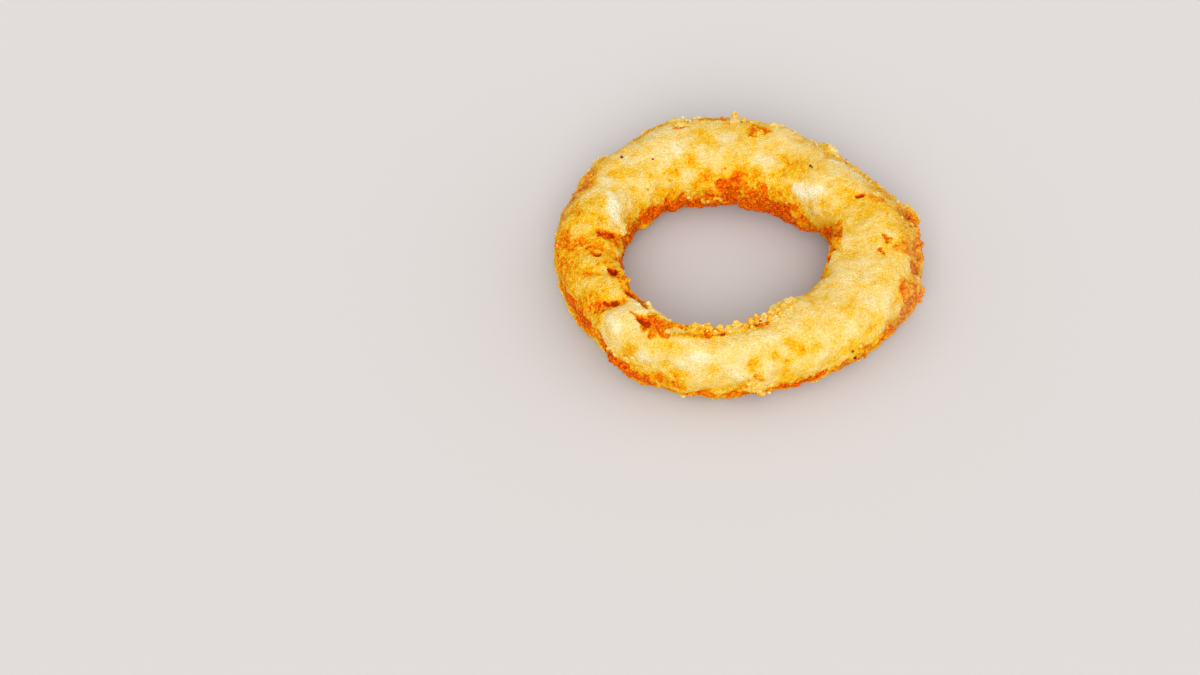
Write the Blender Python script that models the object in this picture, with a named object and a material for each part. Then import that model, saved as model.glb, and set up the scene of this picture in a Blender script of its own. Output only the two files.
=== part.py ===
"""A crumbed and fried onion ring, lying flat on its underside.

The ring is one solid. Its middle line is an uneven oval, its section is a soft slab whose
width and height change round the ring, and its crust has swellings, folds, pits, a ragged
rim and fused crumbs. Metres, +Z up. The origin is on the surface that the ring lies on,
under the middle of its bounding box. +X is the ring's widest side.

A place on the crust is two angles in degrees. "Around" runs round the ring from +X,
anticlockwise seen from above. "Over" runs round the section: 0 faces away from the hole,
90 is the top, 180 faces the hole and 270 is the underside.
"""

import math
import random

import bmesh
import bpy
from mathutils import Vector, noise

MM = 0.001
UP = Vector((0, 0, 1))

# Driving sizes of the bare ring, before its crust is roughened.
MIDLINE_RADIUS = 29.8 * MM
HALF_WIDTH = 8.1 * MM
HALF_HEIGHT = 7.9 * MM
SECTION_SQUARENESS = 2.35

# Waves round the ring: (waves in one turn, swing, angle of a crest in degrees).
MIDLINE_WAVES = ((2, 0.75 * MM, -3), (3, 1.1 * MM, 6), (4, 0.5 * MM, -7))
WIDTH_WAVES = ((1, 2.1 * MM, 55), (2, 0.8 * MM, -40), (3, 0.8 * MM, -31))
HEIGHT_WAVES = ((1, 0.35 * MM, 250), (2, 0.2 * MM, 30))

# The crust's mesh: steps round the ring and round its section.
STEPS_AROUND = 128
STEPS_OVER = 32

# Roughness of the crust at four scales: (width of one bump, height).
BROAD_BUMPS = (10 * MM, 0.8 * MM)
MIDDLE_BUMPS = (5.0 * MM, 0.6 * MM)
CRUMB_BUMPS = (2.9 * MM, 1.2 * MM)
GRAIN_BUMPS = (1.7 * MM, 0.45 * MM)
MEAN_NEAREST = 0.45  # mean distance from a crumb bump's middle, in widths of one bump
TOP_CALM = 0.5  # the top is pressed smoother than the rims by this share

# Swellings in the batter, and hollows, whose height is below zero: (around, over, radius, height).
SWELLINGS = (
    (226, 42, 4.6 * MM, 1.2 * MM),
    (241, 38, 4.2 * MM, 0.7 * MM),
    (257, 58, 6.0 * MM, 0.5 * MM),
    (317, 46, 7.0 * MM, 0.5 * MM),
    (158, 112, 5.0 * MM, 0.6 * MM),
    (113, 88, 6.0 * MM, 0.4 * MM),
    (39, 124, 5.0 * MM, 0.6 * MM),
    (8, 60, 6.0 * MM, 0.4 * MM),
    (180, 8, 8.0 * MM, 0.5 * MM),
    (358, 158, 6.0 * MM, 1.5 * MM),
    (18, 165, 4.0 * MM, -1.3 * MM),
    (52, 212, 9.0 * MM, 0.8 * MM),
)

# Folds: (around, over) where each starts and ends, its half width and its depth.
FOLDS = (
    ((179, 100), (179, 150), 1.1 * MM, 1.1 * MM),
    ((181, 38), (186, 64), 1.2 * MM, 0.9 * MM),
    ((186, 64), (191, 120), 1.0 * MM, 0.5 * MM),
    ((205, 98), (205, 116), 1.3 * MM, 1.0 * MM),
    ((225, 124), (220, 80), 1.2 * MM, 1.1 * MM),
    ((220, 80), (215, 20), 1.2 * MM, 1.2 * MM),
    ((232, 60), (233, 10), 1.1 * MM, 0.6 * MM),
    ((280, 116), (289, 106), 1.1 * MM, 0.9 * MM),
    ((20, 88), (22, 104), 0.9 * MM, 0.5 * MM),
    ((357, 74), (350, 86), 0.9 * MM, 0.5 * MM),
    ((335, 36), (14, 36), 1.3 * MM, 0.8 * MM),
    ((48, 66), (44, 5), 1.4 * MM, 0.9 * MM),
    ((88, 170), (84, 235), 1.3 * MM, 0.8 * MM),
    ((300, 190), (303, 240), 1.2 * MM, 0.7 * MM),
    ((130, 330), (135, 20), 1.3 * MM, 0.7 * MM),
)

# Ragged ridges where the coating stands up: ends as for a fold, half width, height.
RIDGES = (
    ((243, 122), (305, 126), 1.6 * MM, 1.1 * MM),
    ((196, 128), (243, 124), 1.5 * MM, 0.7 * MM),
    ((338, 8), (18, 14), 2.0 * MM, 0.6 * MM),
    ((92, 46), (118, 44), 1.6 * MM, 0.6 * MM),
)

RIDGE_STEP = 2.2 * MM  # how far apart a ridge's peaks are
RIDGE_SHARE = 0.65  # a ridge's mean height, as a share of its full one
RIDGE_SWING = 0.7

# Patches of fused crumbs: (around from, to), (over from, to), how many, (least, most) radius.
CRUMB_PATCHES = (
    ((246, 306), (112, 138), 13, (1.0 * MM, 1.6 * MM)),
    ((335, 378), (-22, 26), 8, (1.3 * MM, 1.9 * MM)),
    ((168, 244), (118, 165), 6, (1.0 * MM, 1.6 * MM)),
    ((62, 150), (26, 58), 6, (1.0 * MM, 1.5 * MM)),
    ((190, 332), (-38, 6), 7, (1.1 * MM, 1.7 * MM)),
    ((45, 150), (160, 215), 4, (1.0 * MM, 1.5 * MM)),
)

# Single lumps that stand out of the outline: (around, over, radius, stretch along the ring).
LUMPS = (
    (88, 48, 2.1 * MM, 1.0),
    (108, 44, 1.4 * MM, 2.0),
    (139, 20, 2.0 * MM, 1.4),
    (274, 126, 1.6 * MM, 1.0),
    (14, 18, 2.1 * MM, 1.4),
    (345, 4, 1.9 * MM, 1.3),
    (52, 42, 1.8 * MM, 1.5),
    (168, 152, 1.8 * MM, 1.3),
)
CRUMB_SEED = 7
CRUMB_STRETCH = (0.9, 1.4)  # least and most length along the ring, as a share of the width
CRUMB_SINK = 0.45  # how far a crumb's centre lies under the crust, as a share of its radius
CRUMB_JITTER = 0.24  # how uneven a crumb's corners are, as a share of its radius

RESTING_SLICE = 0.8 * MM  # how much of the underside the surface below has pressed flat

CRUST_COLOUR = (0.86, 0.50, 0.13, 1.0)
CRUST_ROUGHNESS = 0.55


def wave_sum(waves, around):
    """The waves' total swing at an angle round the ring, in radians."""
    return sum(swing * math.cos(count * (around - math.radians(crest))) for count, swing, crest in waves)


def section_at(around):
    """The section's middle radius, half width and half height."""
    radius = MIDLINE_RADIUS + wave_sum(MIDLINE_WAVES, around)
    width = HALF_WIDTH + wave_sum(WIDTH_WAVES, around)
    height = HALF_HEIGHT + wave_sum(HEIGHT_WAVES, around)
    return radius, width, height


def squared(value):
    """Pushes a cosine or a sine outwards, which turns an ellipse into a soft slab."""
    return math.copysign(abs(value) ** (2 / SECTION_SQUARENESS), value)


def bare_place(around, over):
    """A point of the ring before its crust is roughened, and the way out of its surface."""
    out = Vector((math.cos(around), math.sin(around), 0))
    radius, width, height = section_at(around)
    lift = height - HALF_HEIGHT  # keeps the underside level where the ring is thicker
    sideways = radius + width * squared(math.cos(over))
    upwards = lift + height * squared(math.sin(over))
    point = out * sideways + UP * upwards
    normal = out * (math.cos(over) / width) + UP * (math.sin(over) / height)
    return point, normal.normalized()


def turn_between(angle, other):
    """The shortest turn from one angle to another, in radians."""
    return (other - angle + math.pi) % math.tau - math.pi


def crust_offset(around, over, start, end):
    """How far a place on the crust lies from a line drawn between two places, in metres.

    The crust is unrolled for this: one axis runs along the ring, the other over its section.
    """
    radius, width, height = section_at(around)
    along_scale = radius + width * math.cos(over)
    over_scale = (width + height) / 2
    line = Vector((
        turn_between(math.radians(start[0]), math.radians(end[0])) * along_scale,
        turn_between(math.radians(start[1]), math.radians(end[1])) * over_scale,
    ))
    place = Vector((
        turn_between(math.radians(start[0]), around) * along_scale,
        turn_between(math.radians(start[1]), over) * over_scale,
    ))
    share = 0.0
    if line.length_squared > 0:
        share = min(1.0, max(0.0, place.dot(line) / line.length_squared))
    return (place - line * share).length


def bell(distance, reach):
    """1 at the middle, falling smoothly to nothing a little past reach."""
    return math.exp(-((distance / reach) ** 2))


def roughness_at(point, over):
    """The height of the crust's all-over bumps, in metres."""
    broad_width, broad_height = BROAD_BUMPS
    middle_width, middle_height = MIDDLE_BUMPS
    crumb_width, crumb_height = CRUMB_BUMPS
    grain_width, grain_height = GRAIN_BUMPS
    top = max(0.0, math.sin(over)) ** 2
    calm = 1 - TOP_CALM * top
    nearest = noise.voronoi(point / crumb_width)[0][0]
    return (
        broad_height * noise.noise(point / broad_width)
        + calm * middle_height * noise.noise(point / middle_width)
        + calm * crumb_height * (MEAN_NEAREST - nearest)
        + calm * grain_height * noise.noise(point / grain_width)
    )


def relief_at(point, around, over):
    """How far the crust stands out of the bare ring at a place, in metres."""
    height = roughness_at(point, over)
    for at_around, at_over, reach, rise in SWELLINGS:
        place = (at_around, at_over)
        height += rise * bell(crust_offset(around, over, place, place), reach)
    for start, end, reach, depth in FOLDS:
        height -= depth * bell(crust_offset(around, over, start, end), reach)
    for start, end, reach, rise in RIDGES:
        ragged = RIDGE_SHARE + RIDGE_SWING * noise.noise(point / RIDGE_STEP)
        height += rise * ragged * bell(crust_offset(around, over, start, end), reach)
    return height


def crust_place(around, over):
    """A point of the finished crust, and the way out of it."""
    point, normal = bare_place(around, over)
    return point + normal * relief_at(point, around, over), normal


def ring_mesh():
    """The crust as a closed grid that wraps round the ring and round its section."""
    work = bmesh.new()
    grid = []
    for i in range(STEPS_AROUND):
        around = math.tau * i / STEPS_AROUND
        places = [crust_place(around, math.tau * j / STEPS_OVER) for j in range(STEPS_OVER)]
        grid.append([work.verts.new(point) for point, _ in places])
    for i in range(STEPS_AROUND):
        after = (i + 1) % STEPS_AROUND
        for j in range(STEPS_OVER):
            beside = (j + 1) % STEPS_OVER
            work.faces.new((grid[i][j], grid[after][j], grid[after][beside], grid[i][beside]))
    bmesh.ops.triangulate(work, faces=work.faces)
    bmesh.ops.recalc_face_normals(work, faces=work.faces)
    mesh = bpy.data.meshes.new("onion_ring")
    work.to_mesh(mesh)
    work.free()
    return mesh


def add_crumb(crumbs, place, radius, stretch, fineness, draw):
    """One uneven crumb, half sunk in the crust, as an object of the crumbs collection.

    Place is its two angles in degrees, and fineness is how often its 20 faces are split, plus one.
    """
    around, over = (math.radians(angle) for angle in place)
    point, normal = crust_place(around, over)
    along = Vector((-math.sin(around), math.cos(around), 0))
    across = normal.cross(along).normalized()
    spin = draw.uniform(0, math.tau)
    work = bmesh.new()
    bmesh.ops.create_icosphere(work, subdivisions=fineness, radius=radius)
    centre = point - normal * radius * CRUMB_SINK
    for vert in work.verts:
        local = vert.co * (1 + draw.uniform(-CRUMB_JITTER, CRUMB_JITTER))
        turned = Vector((
            local.x * math.cos(spin) - local.y * math.sin(spin),
            local.x * math.sin(spin) + local.y * math.cos(spin),
            local.z,
        ))
        vert.co = centre + along * turned.x * stretch + across * turned.y + normal * turned.z
    bmesh.ops.recalc_face_normals(work, faces=work.faces)
    mesh = bpy.data.meshes.new("crumb")
    work.to_mesh(mesh)
    work.free()
    crumbs.objects.link(bpy.data.objects.new("crumb", mesh))


def crumb_collection():
    """Every crumb and lump that is fused to the crust."""
    crumbs = bpy.data.collections.new("crumbs")
    bpy.context.scene.collection.children.link(crumbs)
    draw = random.Random(CRUMB_SEED)
    for around_span, over_span, count, radius_span in CRUMB_PATCHES:
        for k in range(count):
            share = (k + draw.uniform(0.1, 0.9)) / count
            place = (around_span[0] + share * (around_span[1] - around_span[0]), draw.uniform(*over_span))
            radius = draw.uniform(*radius_span)
            add_crumb(crumbs, place, radius, draw.uniform(*CRUMB_STRETCH), 1, draw)
    for around, over, radius, stretch in LUMPS:
        add_crumb(crumbs, (around, over), radius, stretch, 2, draw)
    return crumbs


def fuse_crumbs(ring, crumbs):
    """Joins the crumbs to the ring, which makes one body, and removes them."""
    fuse = ring.modifiers.new("fuse_crumbs", "BOOLEAN")
    fuse.operation = "UNION"
    fuse.operand_type = "COLLECTION"
    fuse.collection = crumbs
    fuse.solver = "EXACT"
    graph = bpy.context.evaluated_depsgraph_get()
    fused = bpy.data.meshes.new_from_object(ring.evaluated_get(graph))
    ring.modifiers.clear()
    ring.data = fused
    for crumb in list(crumbs.objects):
        bpy.data.objects.remove(crumb)
    bpy.data.collections.remove(crumbs)


def rest_on_floor(ring):
    """Presses the underside flat, and puts the origin under the middle of the ring's box."""
    verts = ring.data.vertices
    floor = min(vert.co.z for vert in verts) + RESTING_SLICE
    spans = [(min(vert.co[axis] for vert in verts), max(vert.co[axis] for vert in verts)) for axis in (0, 1)]
    middle_x, middle_y = ((low + high) / 2 for low, high in spans)
    for vert in verts:
        vert.co.x -= middle_x
        vert.co.y -= middle_y
        vert.co.z = max(0.0, vert.co.z - floor)


def crust_material():
    material = bpy.data.materials.new("crust")
    material.use_nodes = True
    shader = material.node_tree.nodes["Principled BSDF"]
    shader.inputs["Base Color"].default_value = CRUST_COLOUR
    shader.inputs["Roughness"].default_value = CRUST_ROUGHNESS
    shader.inputs["Metallic"].default_value = 0.0
    return material


def main():
    for obj in list(bpy.data.objects):
        bpy.data.objects.remove(obj)
    ring = bpy.data.objects.new("onion_ring", ring_mesh())
    bpy.context.scene.collection.objects.link(ring)
    fuse_crumbs(ring, crumb_collection())
    rest_on_floor(ring)
    ring.data.materials.clear()
    ring.data.materials.append(crust_material())
    ring.data.shade_smooth()


if __name__ == "__main__":
    main()
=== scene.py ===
"""Dresses the fried onion ring: its crumb crust, the crumbs and specks on it, and a pale studio.

A place on the ring is given by two angles in degrees. "Around" runs round the ring from its
widest side, +X, anticlockwise seen from above. "Over" runs round the section: 0 faces away
from the hole, 90 is the top, 180 faces the hole and 270 is the underside. "Tone" is how far
the crust is fried: 0 is the palest batter and 1 the darkest crumb. Tone also carries painted
shade, browner in hollows, grooves and creases, and painted highlights, paler where the light
falls brightest.
"""

import math

import bmesh
import bpy
import numpy as np
from mathutils import Matrix, Vector, kdtree, noise


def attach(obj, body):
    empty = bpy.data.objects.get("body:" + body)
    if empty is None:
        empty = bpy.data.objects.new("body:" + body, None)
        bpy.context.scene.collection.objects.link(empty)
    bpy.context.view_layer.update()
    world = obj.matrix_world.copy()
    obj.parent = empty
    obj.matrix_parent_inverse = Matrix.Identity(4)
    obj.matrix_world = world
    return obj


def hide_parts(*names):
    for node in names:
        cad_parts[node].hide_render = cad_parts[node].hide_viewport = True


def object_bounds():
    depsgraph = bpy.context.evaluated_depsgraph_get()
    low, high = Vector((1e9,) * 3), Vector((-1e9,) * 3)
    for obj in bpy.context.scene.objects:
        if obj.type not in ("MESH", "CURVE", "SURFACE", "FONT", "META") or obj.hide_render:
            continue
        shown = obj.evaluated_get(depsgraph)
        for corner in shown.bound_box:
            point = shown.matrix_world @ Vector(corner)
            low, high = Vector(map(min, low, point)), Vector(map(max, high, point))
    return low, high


bl_info = {
    "name": "Onion ring",
    "version": (1, 0, 0),
    "blender": (4, 5, 0),
    "location": "3D View > Sidebar > Onion ring",
    "description": "Builds the crumb crust of a fried onion ring and a pale studio round it",
    "category": "Mesh",
}

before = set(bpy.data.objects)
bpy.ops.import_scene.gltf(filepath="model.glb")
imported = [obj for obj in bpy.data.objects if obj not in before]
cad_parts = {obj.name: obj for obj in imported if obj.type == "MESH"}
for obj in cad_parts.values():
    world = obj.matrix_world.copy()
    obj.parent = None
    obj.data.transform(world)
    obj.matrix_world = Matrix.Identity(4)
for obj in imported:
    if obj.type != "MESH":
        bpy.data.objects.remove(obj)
CAD_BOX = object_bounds()

NODE = "onion_ring"
BODY = "root"
MM = 0.001

# The middle that the angles round the ring are measured from.
RING_MIDDLE = Vector((-2.1 * MM, -2.5 * MM, 0))

# Where the middle of the ring's box lies in the photograph, which is 1200 by 675 pixels.
PHOTO_SIZE = (1200, 675)
RING_PIXEL = (738.1, 247.5)

# Tone of the crust on top of the ring, and how much browner its other parts are. The browner
# sides and back flank are partly the crust's frying and partly painted shade where they turn
# from the light.
TOP_TONE = 0.252
SIDE_TONE_AND_SHADE = 0.14
INNER_TONE = 0.12
UNDER_TONE = 0.10
BACK_FLANK_TONE_AND_SHADE = 0.20
FRONT_WALL_TONE = 0.14
LEFT_TONE = 0.03
RIGHT_FLANK_TONE = 0.08
NEAR_TONE = 0.02
NEAR_FLANK_TONE = 0.03

# Tone past which the crust hardly gets darker, except inside the tears.
DEEPEST_TONE = 0.76

# How much of the full relief the palest crust has, the tones between which the relief grows to
# the full, and those between which the crust turns from whole to torn into plates.
PALE_RELIEF = 0.34
CRUMBLY_TONES = (0.32, 0.62)
TORN_TONES = (0.40, 0.58)

# How much browner the borders of torn plates are, as painted shade in the grooves between them,
# and how much browner the high plates are.
BORDER_SHADE = 0.10
LEVEL_TONE = 0.06

# Rounds of smoothing that find the small and the wide hollows, and how much browner a hollow of
# each kind is for each millimetre of its depth: painted shade, darker where shade falls in hollows.
HOLLOW_ROUNDS = (16, 160)
SMALL_HOLLOW_SHADE = 0.45
WIDE_HOLLOW_SHADE = 0.16

# How far the bump texture stands out on the crust and on its crumbs.
CRUST_BUMP = 0.27 * MM
CRUMB_BUMP = 0.12 * MM

# How much light passes through the crust's surface and comes out again beside it.
CRUST_GLOW = 0.45

# Where the studio's two lamps shine from, and the colour of the light all round.
KEY_FROM = (-0.05, -1.0, 0.70)
FILL_FROM = (0.9, -0.25, 0.8)
SKY_COLOUR = (1.0, 0.965, 0.91)

# How fried the crust is, with painted light and shade among it: a streak's start and end (around,
# over), its reach in mm and the tone added. Where streaks lie over each other, the strongest brown
# one and the strongest pale one count.
TONES = (
    # left end: a gold patch with a crisp side, then the torn orange stretch
    ((166, 62), (162, 100), 2.4, 0.20),
    ((172, 60), (171, 104), 2.3, 0.14),
    ((155, 98), (158, 102), 1.3, -0.08),
    ((204, 50), (208, 70), 2.2, -0.12),
    ((170, 38), (176, 54), 2.2, 0.16),
    ((172, 30), (151, 54), 2.4, 0.19),
    ((168, 59), (164, 66), 0.5, 0.25),
    ((167, 35), (177, 42), 1.5, 0.14),
    ((178, 43), (180, 45), 0.6, 0.42),
    ((181, 55), (186, 98), 0.8, 0.28),
    ((179, 71), (182, 104), 2.0, 0.10),
    ((184, 112), (169, 190), 2.2, 0.12),
    ((186, 110), (187, 111), 0.5, 0.22),
    ((192, 78), (192, 89), 0.6, 0.25),
    ((190, 59), (191, 71), 0.5, 0.22),
    ((199, 95), (197, 113), 0.5, 0.25),
    ((186, 70), (214, 58), 4.2, 0.20),
    ((178, 36), (208, 36), 2.8, 0.23),
    ((187, 104), (196, 108), 2.8, 0.24),
    ((189, 162), (206, 150), 1.1, 0.34),
    ((208, 123), (214, 140), 1.1, 0.30),
    ((198, 120), (210, 122), 1.7, 0.24),
    ((206, 110), (214, 116), 1.5, 0.10),
    ((213, 98), (222, 108), 1.4, 0.14),
    ((209, 124), (216, 116), 1.5, 0.24),
    ((180, 128), (196, 132), 1.8, 0.16),
    ((212, 132), (224, 138), 1.6, 0.26),
    ((178, 52), (186, 62), 1.9, 0.28),
    ((168, 60), (170, 72), 1.9, 0.24),
    ((146, 58), (140, 60), 1.6, 0.20),
    # inner rim on the left; its first, paler streak is painted light where the rim turns from the lamps
    ((156, 136), (150, 162), 2.4, -0.03),
    ((157, 183), (151, 196), 0.7, 0.40),
    ((153, 203), (178, 198), 0.9, 0.36),
    ((192, 139), (190, 158), 0.8, 0.32),
    # inner wall across the hole, red-orange
    ((142, 173), (143, 190), 0.4, 0.40),
    ((144, 180), (128, 196), 1.9, 0.38),
    ((128, 200), (106, 204), 1.8, 0.30),
    ((120, 174), (120, 185), 0.9, 0.20),
    ((102, 182), (98, 184), 0.9, 0.26),
    ((101, 174), (97, 180), 1.2, 0.28),
    ((94, 156), (90, 176), 1.5, 0.44),
    ((93, 153), (80, 155), 1.1, 0.26),
    ((93, 186), (68, 190), 1.3, 0.30),
    ((76, 171), (72, 163), 0.9, 0.28),
    ((68, 152), (63, 169), 1.2, 0.32),
    ((64, 184), (50, 180), 1.5, 0.34),
    ((50, 172), (43, 170), 1.4, 0.26),
    ((62, 144), (51, 149), 1.9, 0.09),
    ((84, 158), (56, 162), 2.8, 0.12),
    ((84, 139), (78, 135), 1.6, 0.08),
    ((39, 176), (38, 200), 1.1, 0.16),
    ((33, 168), (29, 182), 1.6, -0.10),
    ((31, 172), (30, 174), 0.6, -0.14),
    ((56, 188), (44, 200), 1.8, 0.32),
    ((118, 176), (110, 184), 1.6, -0.08),
    ((106, 210), (40, 214), 2.2, 0.36),
    ((30, 205), (18, 182), 0.7, 0.36),
    # inner rim on the right
    ((12, 142), (359, 137), 0.9, 0.38),
    ((12, 148), (356, 146), 1.4, 0.24),
    ((358, 146), (350, 152), 1.8, 0.28),
    ((350, 148), (351, 152), 0.6, 0.50),
    ((343, 152), (336, 148), 0.9, 0.16),
    # gold patches on the far side's top
    ((72, 132), (65, 127), 1.9, 0.14),
    ((48, 146), (46, 150), 1.2, 0.10),
    ((56, 101), (49, 105), 2.0, 0.08),
    ((62, 105), (59, 98), 1.0, -0.06),
    ((54, 118), (50, 112), 2.0, 0.17),
    ((60, 112), (44, 106), 2.8, 0.14),
    ((84, 122), (79, 120), 1.2, 0.10),
    ((28, 140), (27, 134), 1.0, 0.11),
    ((35, 107), (34, 104), 0.9, 0.09),
    ((30, 97), (28, 101), 1.0, 0.09),
    ((111, 119), (108, 127), 1.7, 0.11),
    ((124, 127), (119, 136), 1.4, 0.16),
    ((122, 116), (119, 119), 0.7, 0.08),
    ((105, 149), (96, 146), 1.3, 0.10),
    ((112, 68), (104, 72), 1.6, -0.08),
    ((101, 83), (98, 95), 2.2, 0.12),
    ((144, 88), (139, 103), 1.7, 0.12),
    ((74, 88), (68, 92), 1.6, -0.08),
    ((110, 96), (105, 80), 1.3, -0.10),
    ((131, 96), (140, 120), 1.6, -0.10),
    ((94, 131), (92, 131), 0.4, 0.16),
    ((111, 144), (110, 144), 0.4, 0.16),
    ((125, 141), (124, 143), 0.3, 0.30),
    # brown spots by the far outline
    ((80, 64), (80, 81), 1.5, 0.27),
    ((77, 62), (75, 67), 1.0, 0.24),
    ((84, 60), (77, 74), 2.0, 0.12),
    ((65, 56), (48, 43), 2.4, 0.05),
    ((51, 58), (51, 58), 0.4, 0.30),
    ((49, 55), (49, 55), 0.4, 0.30),
    ((143, 66), (138, 70), 1.2, 0.12),
    ((147, 55), (146, 62), 0.8, 0.18),
    ((96, 46), (90, 49), 0.5, 0.26),
    # the far outline's edge: browner partly as brown crumb and partly as painted shade where the crust
    # turns under, with a few paler spots
    ((150, 46), (139, 48), 0.9, 0.25),
    ((124, 43), (113, 45), 0.8, 0.24),
    ((100, 52), (88, 42), 0.7, 0.30),
    ((62, 50), (46, 50), 1.6, -0.11),
    ((24, 60), (14, 56), 2.0, 0.15),
    ((44, 60), (31, 60), 1.8, -0.17),
    ((38, 56), (24, 72), 3.0, 0.05),
    ((42, 44), (20, 48), 1.2, 0.15),
    ((14, 52), (6, 40), 1.0, 0.20),
    # pale spots on the far side: partly paler batter, partly painted highlights where the light falls
    # brightest
    ((75, 117), (64, 116), 1.8, -0.16),
    ((46, 134), (43, 137), 1.2, -0.26),
    ((38, 131), (35, 127), 1.3, -0.28),
    ((42, 134), (38, 140), 1.5, -0.16),
    ((40, 144), (38, 146), 1.0, -0.16),
    ((114, 94), (114, 104), 1.3, -0.20),
    ((103, 105), (105, 119), 1.2, -0.12),
    ((134, 85), (126, 98), 1.4, -0.15),
    ((121, 100), (124, 121), 1.5, -0.10),
    ((92, 88), (89, 88), 1.2, -0.12),
    ((117, 145), (112, 144), 1.4, -0.12),
    ((157, 112), (167, 133), 1.3, -0.30),
    ((149, 89), (151, 94), 1.6, -0.20),
    # right end
    ((15, 127), (9, 71), 4.0, 0.08),
    ((12, 66), (356, 48), 2.8, 0.19),
    ((10, 24), (356, 28), 1.9, 0.24),
    ((340, 24), (336, 14), 1.4, 0.40),
    ((340, 62), (335, 54), 1.8, 0.08),
    ((32, 104), (24, 106), 2.2, 0.10),
    ((344, 90), (326, 98), 2.4, -0.10),
    ((21, 89), (17, 78), 1.2, 0.25),
    ((23, 103), (23, 102), 0.6, -0.15),
    ((357, 78), (357, 76), 0.6, 0.35),
    ((0, 82), (0, 78), 0.4, -0.12),
    ((356, 95), (357, 87), 1.0, 0.12),
    ((355, 67), (357, 51), 1.0, 0.22),
    ((12, 53), (13, 38), 0.7, 0.20),
    ((2, 20), (357, 15), 0.9, 0.36),
    ((353, 33), (350, 34), 0.8, 0.50),
    ((343, 44), (339, 23), 1.4, 0.34),
    ((352, 35), (344, 32), 1.1, 0.24),
    ((9, 47), (7, 42), 0.9, 0.26),
    ((345, 30), (342, 14), 1.2, 0.42),
    ((338, 11), (340, 14), 0.7, 0.48),
    ((336, 1), (338, -1), 1.1, 0.40),
    ((333, 82), (333, 82), 0.7, 0.14),
    ((335, 75), (335, 75), 0.8, 0.15),
    ((320, 72), (317, 60), 1.0, 0.16),
    ((324, 62), (310, 56), 2.4, 0.05),
    ((326, 84), (321, 84), 1.4, -0.08),
    ((324, 54), (334, 40), 1.9, 0.04),
    ((324, 29), (327, 28), 1.0, 0.10),
    ((328, 64), (332, 50), 2.2, -0.12),
    ((316, 50), (316, 46), 1.0, -0.08),
    # near side: the left flank's creases, browner partly as painted shade, and the lobes beside them,
    # paler partly as painted highlights
    ((220, 48), (221, 19), 1.0, 0.28),
    ((219, 5), (221, -6), 1.0, 0.18),
    ((213, 83), (217, 85), 0.8, 0.15),
    ((212, 50), (216, 47), 0.7, 0.17),
    ((223, 110), (226, 109), 1.0, -0.08),
    ((231, 100), (234, 105), 1.0, -0.08),
    ((227, 54), (229, 49), 1.2, -0.16),
    ((232, 46), (236, 38), 1.4, 0.05),
    ((238, 50), (240, 70), 2.4, 0.09),
    ((231, 30), (230, 24), 1.2, -0.10),
    ((223, 24), (228, 10), 1.5, -0.14),
    ((242, 10), (240, 4), 1.3, -0.10),
    ((221, 58), (222, 53), 1.0, 0.11),
    ((240, 30), (242, 22), 1.3, -0.15),
    ((247, 60), (254, 52), 1.6, 0.15),
    ((248, 24), (253, 4), 0.9, 0.13),
    # near side: the brown crumb band inside the rim, partly brown crumb and partly painted shade on the
    # inner wall's top
    ((237, 112), (242, 94), 1.4, 0.44),
    ((236, 94), (238, 76), 1.5, 0.38),
    ((247, 98), (250, 104), 1.2, -0.12),
    ((241, 76), (242, 63), 0.8, 0.44),
    ((241, 86), (246, 72), 1.2, 0.38),
    ((239, 110), (252, 118), 1.8, 0.26),
    ((252, 116), (264, 118), 1.6, 0.17),
    ((260, 116), (261, 114), 0.9, 0.24),
    ((244, 80), (259, 95), 1.0, 0.27),
    ((258, 96), (268, 108), 0.9, 0.20),
    # near side: top and outer flank; its pale streaks are partly paler batter and partly painted light,
    # highlights on the top and a brightening of the low outer flank
    ((255, 38), (262, 44), 1.8, -0.15),
    ((257, 66), (264, 60), 1.6, 0.06),
    ((270, 24), (274, 34), 1.8, -0.08),
    ((246, 14), (304, 14), 2.8, -0.10),
    ((262, -3), (310, 0), 1.9, -0.15),
    ((246, -11), (254, -12), 1.5, 0.12),
    ((250, 55), (253, 60), 1.0, 0.12),
    ((293, 64), (296, 42), 1.3, 0.14),
    ((288, 80), (286, 70), 1.4, -0.12),
    ((285, 60), (284, 56), 1.2, -0.10),
    ((274, 50), (272, 46), 1.4, -0.08),
    ((322, 121), (318, 116), 1.6, -0.10),
    ((291, 30), (294, 22), 1.0, 0.10),
    ((279, 36), (281, 12), 1.4, 0.15),
    ((280, 16), (282, 4), 1.0, 0.28),
    ((279, 44), (280, 38), 0.6, 0.12),
    ((309, 62), (314, 52), 1.6, 0.09),
    ((272, 84), (273, 82), 0.6, 0.12),
    ((296, 67), (297, 65), 0.6, 0.10),
    # near side: the red-orange line low on the outside
    ((191, 4), (200, 8), 1.6, 0.30),
    ((200, 6), (214, 0), 2.1, 0.38),
    ((228, -8), (232, -16), 1.1, 0.40),
    ((223, -2), (232, -18), 1.3, 0.32),
    ((232, -18), (243, -32), 1.6, 0.32),
    ((262, -24), (276, -18), 3.2, -0.08),
    ((243, 50), (246, 60), 1.2, 0.12),
    ((246, -43), (258, -36), 1.2, 0.14),
    ((258, -36), (282, -40), 1.2, 0.18),
    ((286, -25), (298, -30), 0.7, 0.42),
    ((298, -28), (304, -12), 0.7, 0.48),
    ((288, -13), (295, -11), 0.8, 0.08),
)

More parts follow.
